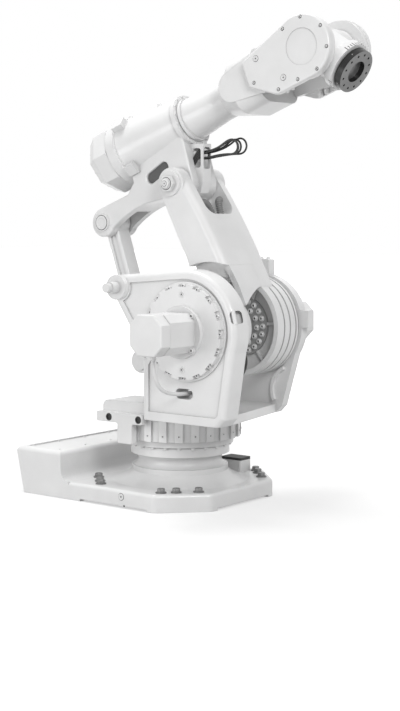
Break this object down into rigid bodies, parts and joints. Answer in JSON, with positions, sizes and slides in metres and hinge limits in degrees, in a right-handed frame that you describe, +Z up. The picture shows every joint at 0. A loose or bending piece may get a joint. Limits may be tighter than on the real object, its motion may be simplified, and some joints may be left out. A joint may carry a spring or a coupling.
{
  "type": "industrial robot arm",
  "caption": "Floor-mounted articulated industrial robot arm with a parallel-rod linkage behind the lower arm, a forked wrist and a round tool flange.",
  "frame": {"origin": "on axis 1, the vertical turning axis, at the underside of the base", "axes": "+X forward over the front of the base, +Y to the robot's left, +Z up along axis 1"},
  "size_m": [1.6942, 1.175, 2.1998],
  "materials": {
    "white_paint": "gloss",
    "dark_steel": "satin",
    "black_plastic": "matte",
    "black_cable": "satin",
    "white_cable": "gloss"
  },
  "bodies": {
    "base": {"base_casting": "white_paint", "connection_box_lid": "white_paint", "control_box": "black_plastic", "bearing_ring": "white_paint"},
    "frame": {"slewing_ring": "white_paint", "frame_casting": "white_paint", "gear_cover_right": "white_paint", "gear_cover_left": "white_paint", "motor_right": "white_paint", "motor_left": "white_paint", "frame_stud_right": "white_paint", "frame_stud_left": "white_paint", "supply_bracket": "white_paint", "motor_cable_right": "white_cable", "cheek_rib": "white_paint"},
    "lower_arm": {"lower_arm_casting": "white_paint", "lower_arm_hub": "white_paint", "elbow_pin": "white_paint"},
    "parallel_arm": {"parallel_arm_casting": "white_paint", "crank_pin": "white_paint"},
    "parallel_rod": {"parallel_rod": "white_paint"},
    "upper_arm": {"upper_arm_casting": "white_paint", "axis_4_drum": "white_paint", "axis_4_end_cover": "white_paint", "lug_pin": "white_paint", "cable_clamp": "white_paint", "cable_loop_1": "black_cable", "cable_loop_2": "black_cable", "cable_loop_3": "black_cable", "cable_loop_4": "black_cable"},
    "forearm": {"forearm_casting": "white_paint", "wrist_cover_right": "white_paint", "wrist_cover_left": "white_paint"},
    "tilt": {"tilt_housing": "white_paint", "tilt_ring": "white_paint"},
    "tool_flange": {"tool_flange": "dark_steel"}
  },
  "joints": [
    {"name": "axis_1", "type": "hinge", "parent": "base", "child": "frame", "pos_m": [0, 0, 0.31], "axis": [0, 0, 1], "range_deg": [-180, 180]},
    {"name": "axis_2", "type": "hinge", "parent": "frame", "child": "lower_arm", "pos_m": [0.3, 0, 0.8145], "axis": [0, 1, 0], "range_deg": [-23, 104]},
    {"name": "axis_3", "type": "hinge", "parent": "lower_arm", "child": "upper_arm", "pos_m": [0.0721, 0, 1.47636], "axis": [0, -1, 0], "range_deg": [-67, 18]},
    {"name": "parallel_arm_turn", "type": "hinge", "parent": "lower_arm", "child": "parallel_arm", "pos_m": [0.3, 0, 0.8145], "axis": [0, -1, 0], "range_deg": [-67, 18]},
    {"name": "parallel_rod_turn", "type": "hinge", "parent": "parallel_arm", "child": "parallel_rod", "pos_m": [-0.17799, 0, 0.63102], "axis": [0, -1, 0], "range_deg": [-18, 67]},
    {"name": "axis_4", "type": "hinge", "parent": "upper_arm", "child": "forearm", "pos_m": [-0.02824, 0, 1.73777], "axis": [0.9336, 0, 0.3584], "range_deg": [-300, 300]},
    {"name": "axis_5", "type": "hinge", "parent": "forearm", "child": "tilt", "pos_m": [0.80545, 0, 2.05779], "axis": [0, -1, 0], "range_deg": [-67, 173]},
    {"name": "axis_6", "type": "hinge", "parent": "tilt", "child": "tool_flange", "pos_m": [0.97506, 0, 1.9518], "axis": [0.848, 0, -0.5299], "range_deg": [-300, 300]}
  ],
  "couplings": [
    {"joint": "parallel_arm_turn", "follows": "axis_3", "ratio": 1},
    {"joint": "parallel_rod_turn", "follows": "axis_3", "ratio": -1}
  ]
}
